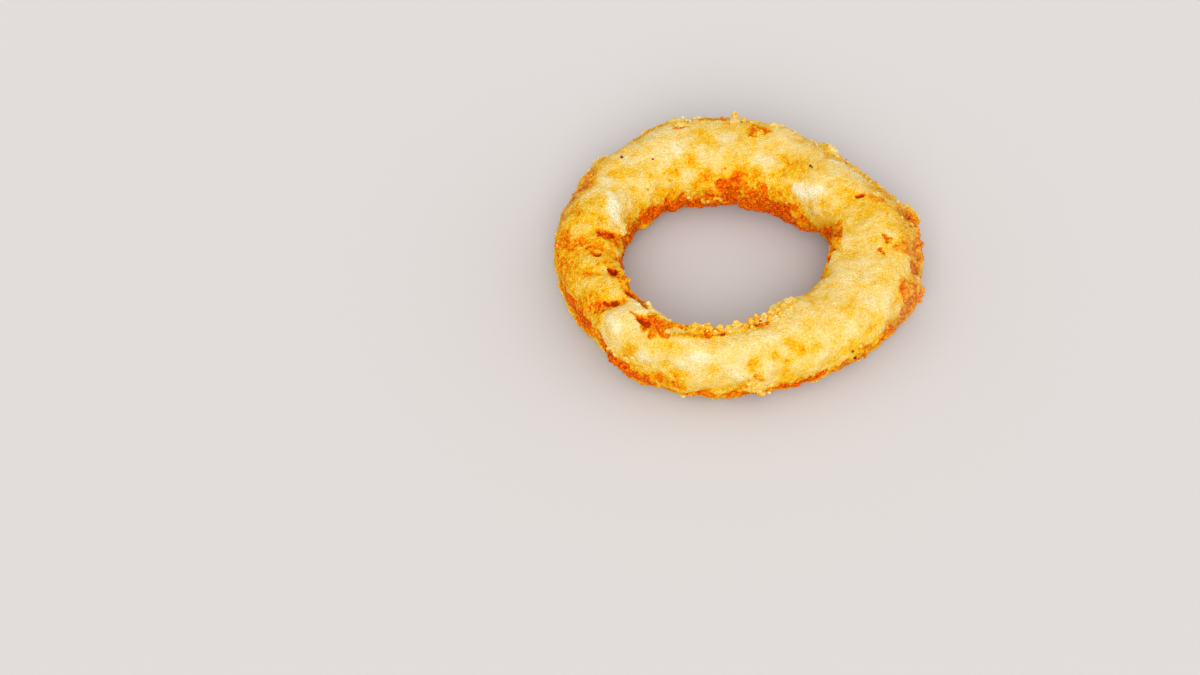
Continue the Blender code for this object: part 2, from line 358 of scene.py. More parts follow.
# Lobes that stand out of the crust: around, over, radius and height in mm.
LOBES = (
    (228, 46, 2.6, 0.60),
    (224, 110, 1.2, 0.55),
    (232, 103, 1.3, 0.55),
    (242, 22, 2.6, 0.35),
    (255, 42, 2.6, 0.35),
    (167, 92, 2.2, 0.35),
    (160, 112, 2.4, 0.30),
    (197, 66, 1.8, 0.30),
    (208, 96, 1.6, 0.30),
    (184, 66, 1.5, 0.25),
    (40, 130, 2.4, 0.25),
    (110, 100, 3.0, 0.25),
    (318, 60, 3.0, 0.25),
    (30, 48, 4.5, -1.10),
    (232, -30, 3.0, 0.80),
    (240, -38, 3.0, 0.60),
    (256, -40, 3.0, 0.60),
    (158, 138, 2.2, 0.25),
    (152, 154, 2.8, 0.45),
    (42, 206, 3.6, 0.80),
    (14, 176, 2.2, -0.90),
    (154, 122, 1.8, 0.15),
    (6, 32, 1.8, 0.70),
    (2, 46, 2.0, 0.50),
    (343, 30, 1.8, 0.45),
    (4, 24, 1.8, 0.40),
    (8, 32, 1.6, 0.40),
    (352, 24, 2.0, -1.70),
    (352, -4, 2.2, -1.60),
    (13, 42, 2.4, -1.20),
    (60, 48, 3.5, -0.70),
    (52, 46, 2.2, -0.60),
    (44, 50, 1.3, -0.70),
    (34, 52, 2.4, 0.35),
    (330, 14, 2.4, -0.60),
    (329, -14, 2.6, -1.10),
    (154, 42, 3.0, -0.80),
    (122, 44, 2.2, -0.60),
    (179, 34, 1.5, 0.60),
)

# Tears in the crust, darker inside, partly the redder crust within and partly painted shade in the
# opening: start, end, half width in mm, depth in mm, tone added.
TEARS = (
    ((178, 110), (176, 145), 0.55, 0.40, 0.08),
    ((177, 136), (176, 143), 0.40, 0.3, 0.14),
    ((178, 109), (178, 113), 0.30, 0.3, 0.20),
    ((188, 86), (187, 92), 0.30, 0.4, 0.30),
    ((192, 95), (193, 104), 0.45, 0.7, 0.36),
    ((202, 114), (204, 118), 0.60, 0.8, 0.42),
    ((219, 52), (219, 46), 0.40, 0.5, 0.35),
    ((217, 63), (218, 68), 0.45, 0.5, 0.34),
    ((219, 77), (220, 88), 0.45, 0.5, 0.42),
    ((229, 88), (233, 90), 0.30, 0.4, 0.34),
    ((234, 89), (237, 91), 0.85, 0.8, 0.38),
    ((219, 120), (222, 130), 1.05, 1.1, 0.42),
    ((223, 131), (232, 120), 0.45, 0.7, 0.36),
    ((266, 106), (268, 107), 0.40, 0.5, 0.42),
    ((280, 121), (288, 112), 0.42, 0.8, 0.50),
    ((22, 99), (22, 92), 0.42, 0.7, 0.50),
    ((0, 84), (358, 79), 0.35, 0.4, 0.30),
    ((353, 86), (351, 81), 0.30, 0.4, 0.34),
    ((8, 36), (7, 27), 0.45, 0.7, 0.36),
    ((111, 64), (105, 64), 0.28, 0.4, 0.20),
)

# Where coarse crumbs crowd: start, end, reach in mm, how thickly, tone added to those crumbs.
CROWDS = (
    ((252, 122), (304, 126), 1.3, 3.5, -0.03),
    ((237, 108), (266, 118), 1.4, 3.0, 0.04),
    ((205, 122), (232, 124), 1.4, 1.6, 0.02),
    ((336, 2), (18, 30), 2.2, 2.2, 0.12),
    ((20, 34), (58, 46), 1.4, 1.4, 0.00),
    ((18, 44), (42, 46), 1.6, 2.6, -0.02),
    ((62, 46), (118, 48), 1.4, 1.6, -0.04),
    ((114, 44), (164, 34), 1.5, 1.8, 0.04),
    ((275, -15), (283, -38), 1.2, 3.0, -0.10),
    ((226, 8), (237, 4), 1.0, 2.5, -0.05),
    ((100, 190), (92, 196), 0.9, 2.0, -0.18),
    ((40, 190), (150, 190), 2.4, 0.9, 0.02),
    ((350, 146), (14, 144), 1.8, 1.6, 0.02),
    ((184, 120), (165, 180), 2.4, 1.0, 0.02),
)

# Where the crust is dry and tan: start, end, reach in mm, how tan.
DRY = (
    ((172, 40), (154, 46), 1.8, 0.7),
    ((152, 50), (128, 52), 2.0, 0.6),
    ((124, 50), (84, 50), 1.4, 0.5),
    ((66, 46), (44, 58), 2.6, 0.5),
    ((44, 58), (20, 56), 3.0, 0.5),
    ((20, 56), (352, 34), 3.0, 0.8),
    ((352, 34), (334, 12), 3.2, 0.9),
    ((4, 18), (334, -4), 2.4, 0.9),
)

# Crags, each one lump of crumbs: around, over, its length and width along the crust and its
# height in mm, and the tone added.
CRAGS = (
    # the pale crumbs that stand along the near side's inner rim
    (256, 121, 1.6, 1.2, 1.4, 0.02),
    (262, 120, 1.8, 1.4, 1.5, 0.00),
    (266, 122, 1.7, 1.4, 3.2, 0.04),
    (270, 118, 1.8, 1.4, 1.9, 0.06),
    (274, 123, 1.8, 1.3, 2.1, 0.00),
    (278, 123, 2.0, 1.4, 1.6, 0.08),
    (281, 126, 1.8, 1.3, 2.5, 0.10),
    (284, 127, 1.9, 1.4, 3.0, 0.06),
    (288, 125, 2.0, 1.2, 1.8, 0.00),
    (292, 124, 2.0, 1.4, 2.2, 0.08),
    (296, 124, 2.0, 1.4, 1.8, 0.06),
    (300, 124, 1.8, 1.3, 1.4, 0.08),
    # the lower crumbs on top of that rim
    (259, 113, 2.0, 1.1, 0.9, 0.06),
    (265, 111, 2.2, 1.2, 1.1, 0.02),
    (271, 110, 2.2, 1.1, 0.9, 0.08),
    (276, 112, 2.2, 1.3, 1.3, 0.02),
    (281, 114, 2.0, 1.1, 1.0, 0.10),
    (286, 113, 2.2, 1.3, 1.2, 0.02),
    (291, 114, 2.2, 1.1, 1.2, 0.06),
    (296, 113, 2.0, 1.2, 0.9, 0.00),
    (302, 115, 2.0, 1.0, 0.8, 0.02),
    # pale crumbs that hang over the inner wall
    (98, 182, 1.8, 0.6, 0.7, -0.16),
    (95, 188, 0.8, 0.5, 0.7, -0.18),
    # far outline
    (108, 58, 3.6, 1.8, 0.9, -0.04),
    (88, 48, 2.2, 1.8, 2.4, 0.06),
    (85, 48, 1.4, 1.2, 1.5, 0.04),
    (47, 44, 1.8, 1.2, 0.5, -0.08),
    (131, 62, 2.0, 1.2, 0.5, 0.10),
    (38, 44, 2.2, 1.4, 0.6, 0.00),
    (33, 42, 1.8, 1.2, 0.8, 0.04),
    (27, 44, 2.4, 1.4, 0.8, 0.00),
    (21, 42, 1.8, 1.2, 0.7, 0.06),
    # right end
    (6, 30, 2.2, 1.4, 0.9, 0.22),
    (6, 26, 2.4, 1.8, 1.0, 0.24),
    (2, 20, 2.0, 1.6, 1.2, 0.24),
    (345, 16, 2.4, 1.6, 1.5, 0.28),
    (340, 2, 2.2, 1.6, 1.6, 0.24),
    # low on the near side
    (277, -6, 1.8, 1.2, 0.8, -0.04),
    (281, -10, 1.8, 1.1, 0.9, 0.02),
    (285, -14, 1.6, 1.0, 0.8, -0.02),
    (279, -18, 1.6, 1.2, 1.0, -0.08),
    (282, -28, 1.6, 1.2, 1.2, -0.06),
    (230, 4, 1.6, 0.7, 0.8, -0.05),
    (234, 6, 1.8, 0.7, 0.9, -0.08),
)

# Black-brown specks that show: (around, over, radius in mm).
SPECKS = (
    (48.9, 98.5, 0.28),
    (48.0, 99.0, 0.32),
    (47.1, 98.5, 0.27),
    (135, 72, 0.40),
    (126, 105, 0.26),
    (138, 138, 0.20),
    (85, 56, 0.20),
    (315, -8, 0.60),
    (314, 8, 0.38),
    (239, -44, 0.30),
    (12, 44, 0.28),
)


class Wire:
    """An output socket that can stand in a sum, which adds the Math nodes."""

    def __init__(self, board, socket):
        self.board = board
        self.socket = socket

    def __add__(self, other):
        return self.board.maths("ADD", self, other)

    __radd__ = __add__

    def __sub__(self, other):
        return self.board.maths("SUBTRACT", self, other)

    def __rsub__(self, other):
        return self.board.maths("SUBTRACT", other, self)

    def __mul__(self, other):
        return self.board.maths("MULTIPLY", self, other)

    __rmul__ = __mul__


class Board:
    """A material's nodes."""

    def __init__(self, name):
        self.material = bpy.data.materials.new(name)
        self.material.use_nodes = True
        self.tree = self.material.node_tree
        self.shader = self.tree.nodes["Principled BSDF"]

    def node(self, kind, settings=(), inputs=(), stops=()):
        """A node of a kind: its settings, its sockets' values or links, and its ramp's stops."""
        made = self.tree.nodes.new(kind)
        for name, value in dict(settings).items():
            setattr(made, name, value)
        for place, (position, colour) in enumerate(stops):
            ramp = made.color_ramp.elements
            stop = ramp[place] if place < 2 else ramp.new(position)
            stop.position = position
            stop.color = (*colour, 1)
        for name, value in dict(inputs).items():
            self.feed(made.inputs[name], value)
        return made

    def feed(self, socket, value):
        """Links a wire to a socket, or sets the socket to a value."""
        if isinstance(value, Wire):
            self.tree.links.new(value.socket, socket)
        else:
            socket.default_value = value

    def surface(self, sockets):
        """Feeds the shader's sockets, by name, and gives the finished material."""
        for name, value in sockets.items():
            self.feed(self.shader.inputs[name], value)
        return self.material

    def out(self, node, name=0):
        """A node's output, by name or number."""
        return Wire(self, node.outputs[name])

    def maths(self, operation, first, second, clamp=False):
        """Two values worked into one."""
        settings = {"operation": operation, "use_clamp": clamp}
        return self.out(self.node("ShaderNodeMath", settings, {0: first, 1: second}))

    def clamped(self, value):
        """A value kept between 0 and 1."""
        return self.maths("ADD", value, 0.0, clamp=True)

    def spread(self, value, low, high, to_low=0.0, to_high=1.0):
        """Maps low..high smoothly to to_low..to_high."""
        made = self.node(
            "ShaderNodeMapRange",
            {"interpolation_type": "SMOOTHSTEP"},
            {"Value": value, "From Min": low, "From Max": high, "To Min": to_low, "To Max": to_high},
        )
        return self.out(made)

    def attribute(self, name):
        """A number that the mesh keeps for each of its points."""
        return self.out(self.node("ShaderNodeAttribute", {"attribute_name": name}), "Fac")

    def place(self):
        """Where a point of the surface lies, in metres."""
        return self.out(self.node("ShaderNodeTexCoord"), "Object")

    def moved(self, place, shift):
        """A place moved by a shift."""
        return self.out(self.node("ShaderNodeVectorMath", {"operation": "ADD"}, {0: place, 1: shift}))

    def noise(self, width, detail=2.0, roughness=0.5, offset=0.0):
        """Noise whose blobs are about width metres across, centred on 0."""
        made = self.node(
            "ShaderNodeTexNoise",
            inputs={
                "Vector": self.moved(self.place(), (offset,) * 3),
                "Scale": 1 / width,
                "Detail": detail,
                "Roughness": roughness,
            },
        )
        return self.out(made, "Fac") - 0.5

    def cells(self, width):
        """Pebbles about width metres across: how far their middles are, and their random values."""
        made = self.node("ShaderNodeTexVoronoi", inputs={"Vector": self.place(), "Scale": 1 / width})
        split = self.node("ShaderNodeSeparateColor", inputs={0: self.out(made, "Color")})
        return self.out(made, "Distance"), self.out(split)

    def cracks(self, width):
        """How far a place lies from the borders between uneven plates about width metres across."""
        place = self.place()
        bend = self.node(
            "ShaderNodeTexNoise",
            inputs={"Vector": place, "Scale": 1.6 / width, "Detail": 2.0},
        )
        shift = self.node(
            "ShaderNodeVectorMath",
            {"operation": "SCALE"},
            {0: self.out(bend, "Color"), "Scale": 0.9 * width},
        )
        made = self.node(
            "ShaderNodeTexVoronoi",
            {"feature": "DISTANCE_TO_EDGE"},
            {"Vector": self.moved(place, self.out(shift)), "Scale": 1 / width},
        )
        return self.out(made, "Distance")

    def mix(self, share, first, second, blend="MIX"):
        """Two colours mixed by a share. A Mix node's colours go in at 6 and 7 and come out at 2."""
        settings = {"data_type": "RGBA", "blend_type": blend}
        return self.out(self.node("ShaderNodeMix", settings, {0: share, 6: first, 7: second}), 2)

    def ramp(self, value, stops):
        """The colour that a value has on a ramp."""
        return self.out(self.node("ShaderNodeValToRGB", inputs={0: value}, stops=stops))

    def bump(self, height, distance, strength):
        """A normal bent by a height."""
        inputs = {"Height": height, "Distance": distance, "Strength": strength}
        return self.out(self.node("ShaderNodeBump", inputs=inputs))


def length_property(name, description, default, least=0.0):
    """A length in metres."""
    return bpy.props.FloatProperty(
        name=name,
        description=description,
        default=default,
        min=least,
        subtype="DISTANCE",
        unit="LENGTH",
    )


def widths_property(name, description, least, most):
    """A least and a most width, given here in mm."""
    return bpy.props.FloatVectorProperty(
        name=name,
        description=description,
        default=(least * MM, most * MM),
        size=2,
        subtype="XYZ_LENGTH",
        unit="LENGTH",
    )


def colour_property(name, description, default):
    """A colour, as the light's red, green and blue."""
    return bpy.props.FloatVectorProperty(
        name=name,
        description=description,
        default=default,
        size=3,
        min=0,
        max=1,
        subtype="COLOR",
    )


def count_property(name, description, default):
    """How many there are of something."""
    return bpy.props.IntProperty(name=name, description=description, default=default, min=0)


class CrustSettings(bpy.types.PropertyGroup):
    """The crust of the ring."""

    mesh_step: length_property("Mesh step", "Size of the crust's finest faces", 0.38 * MM, 0.2 * MM)
    grain_step: length_property("Grain step", "How far apart the crust's grains are", 0.8 * MM)
    grain_height: length_property(
        "Grain height",
        "How far the grains stand out where the crust is crumbliest",
        0.42 * MM,
    )
    plate_step: length_property("Plate step", "How wide the crust's torn plates are", 1.9 * MM)
    plate_height: length_property(
        "Plate height",
        "How far the torn plates stand above each other",
        0.35 * MM,
    )
    lump_height: length_property(
        "Lump height",
        "How far the crust's lumps, a few millimetres wide, rise and fall",
        0.38 * MM,
    )
    # the bare batter and pale crust are also the colours that the painted highlights turn the crust to
    batter: colour_property("Bare batter", "Colour of the least fried crust", (0.745, 0.70, 0.47))
    pale: colour_property("Pale crust", "Colour of the lightest crumbs", (0.755, 0.618, 0.28))
    yellow: colour_property("Yellow crust", "Colour of most of the top", (0.76, 0.53, 0.13))
    gold: colour_property("Golden crust", "Colour of the deeper patches on top", (0.745, 0.448, 0.010))
    amber: colour_property("Amber crust", "Colour of the flanks", (0.75, 0.358, 0.005))
    orange: colour_property("Orange crust", "Colour of the rims", (0.775, 0.225, 0.002))
    red: colour_property(
        "Red-brown crust",
        "Colour of the wall round the hole and of the tears",
        (0.875, 0.126, 0.001),
    )
    brown: colour_property("Brown crust", "Colour of the deepest gaps", (0.52, 0.042, 0.001))
    tan: colour_property("Dry crust", "Colour that the dry edges lean to", (0.50, 0.26, 0.07))
    burnt: colour_property("Burnt crumb", "Colour of the specks", (0.06, 0.012, 0.002))
    oil: bpy.props.FloatProperty(
        name="Oil",
        description="How strongly the oil on the crust glints",
        default=0.8,
        min=0,
        max=1,
        subtype="FACTOR",
    )
    seed: count_property("Seed", "Picks another spread of grains", 11)


class CrumbSettings(bpy.types.PropertyGroup):
    """The crumbs and specks on the crust."""

    grain_count: count_property("Grains", "How many sand-like grains lie on the crust", 24000)
    fine_count: count_property("Fine crumbs", "How many fine crumbs lie on the crust", 8800)
    coarse_count: count_property("Coarse crumbs", "How many coarse crumbs crowd at the rims", 1600)
    flake_count: count_property("Flakes", "How many thin flakes lift off the crust", 260)
    grain_size: widths_property("Grain size", "Least and most width of a grain", 0.22, 0.46)
    fine_size: widths_property("Fine size", "Least and most width of a fine crumb", 0.30, 0.70)
    coarse_size: widths_property("Coarse size", "Least and most width of a coarse crumb", 0.5, 1.1)
    flake_size: widths_property("Flake size", "Least and most width of a flake", 0.8, 1.8)
    seed: count_property("Seed", "Picks another spread of crumbs", 23)


class StudioSettings(bpy.types.PropertyGroup):
    """The floor, the lamps and the camera."""

    floor: colour_property("Floor", "Colour of the floor", (0.475, 0.460, 0.4645))
    key: bpy.props.FloatProperty(
        name="Key light",
        description="Strength of the broad light from above the camera",
        default=2.62,
        min=0,
    )
    key_angle: bpy.props.FloatProperty(
        name="Key width",
        description="How wide the key light looks",
        default=math.radians(38),
        subtype="ANGLE",
    )
    fill: bpy.props.FloatProperty(
        name="Fill light",
        description="Strength of the light across from the key light",
        default=0.7,
        min=0,
    )
    sky: bpy.props.FloatProperty(
        name="Sky",
        description="Strength of the even light from all round",
        default=0.97,
        min=0,
    )
    lens: bpy.props.FloatProperty(
        name="Lens",
        description="Focal length on a 36 mm wide sensor",
        default=85.0,
        min=10,
        unit="CAMERA",
    )
    elevation: bpy.props.FloatProperty(
        name="Camera height",
        description="Angle of the view above the floor",
        default=math.radians(48.0),
        subtype="ANGLE",
    )
    ring_pixels: bpy.props.FloatProperty(
        name="Ring width in the picture",
        description="How many of the picture's 1200 pixels the ring's widest side takes",
        default=370.0,
        min=1,
    )


class RingPlaces:
    """Turns points near the ring into angles round it and over its section."""

    BINS = 72

    def __init__(self, points):
        around, radius = self.polar(points)
        turns = np.arange(self.BINS) * math.tau / self.BINS
        inner, outer, top = [], [], []
        for middle in turns:
            near = np.abs((around - middle + math.pi) % math.tau - math.pi) < math.tau / self.BINS
            inner.append(np.percentile(radius[near], 2))
            outer.append(np.percentile(radius[near], 98))
            top.append(np.percentile(points[near, 2], 98))
        self.turns = turns
        self.inner, self.outer, self.top = (np.array(values) for values in (inner, outer, top))

    @staticmethod
    def polar(points):
        """Angles round the ring and distances from its middle, seen from above."""
        x = points[:, 0] - RING_MIDDLE.x
        y = points[:, 1] - RING_MIDDLE.y
        return np.arctan2(y, x) % math.tau, np.hypot(x, y)

    def section(self, around):
        """The section's middle radius, half width and half height at angles round the ring."""
        inner, outer, top = (
            np.interp(around, self.turns, values, period=math.tau)
            for values in (self.inner, self.outer, self.top)
        )
        return (inner + outer) / 2, (outer - inner) / 2, top / 2

    def angles(self, points):
        """Angles round the ring and over its section."""
        around, radius = self.polar(points)
        middle, width, height = self.section(around)
        over = np.arctan2((points[:, 2] - height) / height, (radius - middle) / width)
        return around, over

    def distance(self, angles, start, end):
        """How far places on the crust lie from a line between two places, unrolled, in metres."""
        around, over = angles
        middle, width, height = self.section(around)
        along_scale = middle + width * np.cos(over)
        over_scale = (width + height) / 2
        line = (turn(start[0], end[0]) * along_scale, turn(start[1], end[1]) * over_scale)
        place = (turn_to(start[0], around) * along_scale, turn_to(start[1], over) * over_scale)
        length = np.maximum(line[0] ** 2 + line[1] ** 2, 1e-12)
        share = np.clip((place[0] * line[0] + place[1] * line[1]) / length, 0, 1)
        return np.hypot(place[0] - line[0] * share, place[1] - line[1] * share)


def turn(start, end):
    """The shortest turn between two angles in degrees, in radians."""
    return math.radians((end - start + 180) % 360 - 180)


def turn_to(start, angles):
    """The shortest turns from an angle in degrees to angles in radians."""
    return (angles - math.radians(start) + math.pi) % math.tau - math.pi


def bell(distance, reach):
    """1 at the middle, falling smoothly to nothing past reach."""
    return np.exp(-((distance / reach) ** 2))


def spot(distance, reach):
    """1 at the middle, falling to nothing past reach, with a clearer side than a bell."""
    return np.exp(-((distance / reach) ** 4))


def step(values, low, high):
    """0 below low, 1 above high, smooth between."""
    share = np.clip((values - low) / (high - low), 0, 1)
    return share * share * (3 - 2 * share)


def noise_at(points, width, offset=0.0, octaves=1):
    """Smooth noise, about -0.5 to 0.5 or more, whose blobs are about width metres across."""
    shift = Vector((offset, offset * 0.7, -offset))
    if octaves == 1:
        values = [noise.noise(Vector(point) / width + shift) for point in points]
    else:
        values = [noise.fractal(Vector(point) / width + shift, 1.0, 2.0, octaves) for point in points]
    return np.array(values)


def noise_vectors(points, width):
    """Smooth random vectors, about -0.5 to 0.5 along each axis."""
    return np.stack([noise_at(points, width, offset) for offset in (31.0, 37.0, 43.0)], -1)


def vectors_of(items, name):
    """A vector of each of a mesh's points or faces, as rows."""
    values = np.empty(len(items) * 3, np.float32)
    items.foreach_get(name, values)
    return values.reshape(-1, 3).astype(float)


def mesh_points(mesh):
    """Where a mesh's points are."""
    return vectors_of(mesh.vertices, "co")


def mesh_normals(mesh):
    """Which way a mesh faces at its points."""
    return vectors_of(mesh.vertex_normals, "vector")


def inside_box(points, margin=0.0):
    """The points, with any that leave the solid's box, less a margin, brought back to its side."""
    low, high = CAD_BOX
    return np.clip(points, np.array(low) + margin, np.array(high) - margin)


def write_values(mesh, name, values):
    """Keeps a number for each of the mesh's points, for its material to read."""
    layer = mesh.attributes.new(name, "FLOAT", "POINT")
    layer.data.foreach_set("value", values.astype(np.float32))


def add_piece(name, mesh, material):
    """Puts a mesh in the scene as a piece of the ring."""
    piece = bpy.data.objects.new(name, mesh)
    bpy.context.scene.collection.objects.link(piece)
    mesh.materials.clear()
    mesh.materials.append(material)
    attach(piece, BODY)
    return piece


def ring_places():
    """The places on the ring, read from the solid."""
    return RingPlaces(mesh_points(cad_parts[NODE].data))


def fried_and_painted_tone(places, points):
    """How far the crust is fried at points on the ring, with painted shade and highlights in it, and
    the angles of those points.
    """
    angles = places.angles(points)
    around, over = angles
    ragged = (
        around + 0.025 * noise_at(points, 2.8 * MM, 3.0) + 0.015 * noise_at(points, 0.9 * MM, 4.0),
        over + 0.10 * noise_at(points, 2.6 * MM, 8.0) + 0.06 * noise_at(points, 0.9 * MM, 9.0),
    )
    # how far right and back a point lies, and how much it faces outwards, the hole, and down
    right, back = np.cos(around), np.sin(around)
    outer = np.clip(np.cos(over), 0, 1)
    inner = np.clip(-np.cos(over), 0, 1)
    low = 1 - np.clip(np.sin(over), 0, 1)
    under = np.clip(-np.sin(over), 0, 1)
    # the sides and the back flank are browner partly from frying and partly as painted shade where they
    # turn from the light
    tone = TOP_TONE + SIDE_TONE_AND_SHADE * low**2 + INNER_TONE * inner * low + UNDER_TONE * under
    tone += BACK_FLANK_TONE_AND_SHADE * outer * step(back, -0.1, 0.5) * low**1.5
    tone += FRONT_WALL_TONE * inner * step(-back, 0.1, 0.6) * low
    tone += LEFT_TONE * step(-right, 0.75, 0.95)
    tone += RIGHT_FLANK_TONE * outer * step(right, 0.3, 0.8) * low**1.5
    tone += (NEAR_TONE + NEAR_FLANK_TONE * outer) * step(-back, 0.2, 0.8)
    tone += 0.10 * noise_at(points, 8 * MM, 1.0) + 0.07 * noise_at(points, 3.4 * MM, 5.0)
    browner = np.zeros(len(points))
    paler = np.zeros(len(points))
    for start, end, reach, added in TONES:
        mark = added * spot(places.distance(ragged, start, end), reach * MM)
        browner = np.maximum(browner, mark)
        paler = np.minimum(paler, mark)
    return tone + browner + paler, angles


def smooth_ring_mesh(step_size):
    """The solid's surface as a fine even mesh, with the facets rounded off."""
    work = bmesh.new()
    work.from_mesh(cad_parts[NODE].data)
    bmesh.ops.remove_doubles(work, verts=work.verts, dist=0.001 * MM)
    mesh = bpy.data.meshes.new("crust_start")
    work.to_mesh(mesh)
    work.free()
    start = bpy.data.objects.new("crust_start", mesh)
    bpy.context.scene.collection.objects.link(start)
    rounded = start.modifiers.new("round", "SUBSURF")
    rounded.levels = 2
    rounded.render_levels = 2
    fine = start.modifiers.new("fine", "REMESH")
    fine.mode = "VOXEL"
    fine.voxel_size = step_size
    calm = start.modifiers.new("calm", "SMOOTH")
    calm.factor = 0.5
    calm.iterations = 4
    graph = bpy.context.evaluated_depsgraph_get()
    result = bpy.data.meshes.new_from_object(start.evaluated_get(graph))
    bpy.data.objects.remove(start)
    bpy.data.meshes.remove(mesh)
    result.name = "crust"
    return result


def face_draw(mesh, gap, rng):
    """The middles of faces drawn at random from a mesh, one for each square of the gap's side."""
    faces = mesh.polygons
    count = int(sum(face.area for face in faces) / gap**2)
    weights = np.ones(len(faces))
    picks = rng.choice(len(faces), size=count, p=weights / weights.sum())
    return vectors_of(faces, "center")[picks]


def seed_tree(seeds):
    """A tree that finds the seeds near a point."""
    tree = kdtree.KDTree(len(seeds))
    for number, seed in enumerate(seeds):
        tree.insert(Vector(seed), number)
    tree.balance()
    return tree


def grains_at(points, seeds, sizes):
    """Round grains on a surface: each point's height in its nearest grain, and which grain that is."""
    tree = seed_tree(seeds)
    found = [tree.find(Vector(point)) for point in points]
    nearest = np.array([number for _, number, _ in found])
    distance = np.array([gap for _, _, gap in found])
    share = np.clip(distance / sizes[nearest], 0, 1)
    return np.sqrt(1 - share**2), nearest


def plates_at(points, seeds):
    """Uneven plates on a surface: which one each point is on, and how far it is from its border."""
    tree = seed_tree(seeds)
    plates = np.empty(len(points), int)
    borders = np.empty(len(points))
    for row, point in enumerate(points):
        near, far = tree.find_n(Vector(point), 2)
        plates[row] = near[1]
        borders[row] = (far[2] - near[2]) / 2
    return plates, borders


def grain_relief(mesh, points, gap, rng):
    """The crust's grains: how high each point stands in its own, and that grain's random number."""
    seeds = face_draw(mesh, gap, rng)
    sizes = gap * rng.uniform(0.42, 0.80, len(seeds))
    heights = rng.uniform(0.35, 1.0, len(seeds))
    numbers = rng.uniform(0, 1, len(seeds))
    dome, nearest = grains_at(points, seeds, sizes)
    return dome * heights[nearest] - 0.4, numbers[nearest]


def plate_relief(mesh, points, width, rng):
    """The crust's torn plates: the level of each point's own, and 1 at its border or 0 inside it."""
    bent = points + 0.5 * width * noise_vectors(points, 0.8 * width)
    seeds = face_draw(mesh, width, rng)
    plates, borders = plates_at(bent, seeds)
    levels = rng.uniform(-0.6, 0.6, len(seeds))
    return levels[plates], 1 - step(borders, 0.05 * MM, 0.30 * MM)


def placed_relief(places, points, angles):
    """How far the lobes and tears raise or lower points, in metres, and the tone that tears add, partly
    painted shade inside them.
    """
    ragged = (
        angles[0] + 0.015 * noise_at(points, 1.2 * MM, 15.0),
        angles[1] + 0.06 * noise_at(points, 1.2 * MM, 16.0),
    )
    raised = np.zeros(len(points))
    opened = np.zeros(len(points))
    for around, over, reach, height in LOBES:
        place = (around, over)
        raised += height * MM * bell(places.distance(ragged, place, place), reach * MM)
    for start, end, width, depth, added in TEARS:
        mark = spot(places.distance(ragged, start, end), width * MM)
        raised -= depth * MM * mark
        opened += added * mark
    return raised, opened


def hollows(mesh, rounds):
    """How deep each point lies below the mesh as smoothed by each number of rounds, in metres."""
    points = mesh_points(mesh)
    normals = mesh_normals(mesh)
    count = len(points)
    edges = np.empty(len(mesh.edges) * 2, np.int32)
    mesh.edges.foreach_get("vertices", edges)
    one, two = edges.reshape(-1, 2).T
    share = 1 / (np.bincount(one, minlength=count) + np.bincount(two, minlength=count))
    smooth = points.copy()
    depths = []
    for number in range(max(rounds)):
        for axis in range(3):
            line = smooth[:, axis]
            beside = np.bincount(one, line[two], count) + np.bincount(two, line[one], count)
            smooth[:, axis] = share * beside
        if number + 1 in rounds:
            depth = ((smooth - points) * normals).sum(axis=1)
            depths.append(depth - np.median(depth))
    return depths


def crust_colour(board, settings, tone):
    """The crust's colour for a tone, with patches, mottling and specks, and painted shade in pits,
    between grains and along cracks.
    """
    patch = board.noise(2.8 * MM, detail=3.0, roughness=0.62)
    small = board.noise(1.1 * MM, detail=2.0, roughness=0.6, offset=3.0)
    sand = board.noise(0.30 * MM, detail=1.0, roughness=0.5, offset=5.0)
    dots = board.noise(0.5 * MM, detail=0.0, offset=13.0)
    pit_shade = board.noise(0.27 * MM, detail=1.0, roughness=0.6, offset=9.0)
    cracks = 1 - board.spread(board.cracks(1.0 * MM), 0.02, 0.12)
    gap, own = board.cells(0.42 * MM)

    # the browner the crust, the coarser it looks
    coarse = board.clamped(tone * 2.2 - 0.28)
    fried = tone + board.spread(patch, 0.03, 0.09, -0.016, 0.04)
    fried = fried + board.spread(small, 0.04, 0.12, -0.01, 0.028)
    # sand and each grain's own tone mottle the crust; browner at the cells' edges is painted shade in
    # the gaps between grains
    fried = fried + (sand * 0.55 + (gap - 0.35) * 0.22 + (own - 0.5) * 0.12) * coarse
    fried = fried + (board.attribute("grain") - 0.5) * 0.06 * coarse
    fried = fried + board.spread(dots, 0.18, 0.27) * 0.12
    # darker along the plates' cracks: painted shade in the grooves between torn plates
    fried = fried + cracks * board.clamped(tone * 2.4 - 1.0) * 0.16
    colour = board.ramp(
        board.clamped(fried),
        (
            (0.0, settings.batter),
            (0.14, settings.pale),
            (0.30, settings.yellow),
            (0.43, settings.gold),
            (0.55, settings.amber),
            (0.69, settings.orange),
            (0.84, settings.red),
            (1.0, settings.brown),
        ),
    )
    # a fine darker mottle multiplied in: painted shade in the tiny pits between grains
    colour = board.mix(board.clamped(pit_shade * 3.0 + 0.3), colour, (0.85, 0.76, 0.70, 1), "MULTIPLY")
    return board.mix(board.attribute("dry") * 0.5, colour, (*settings.tan, 1))


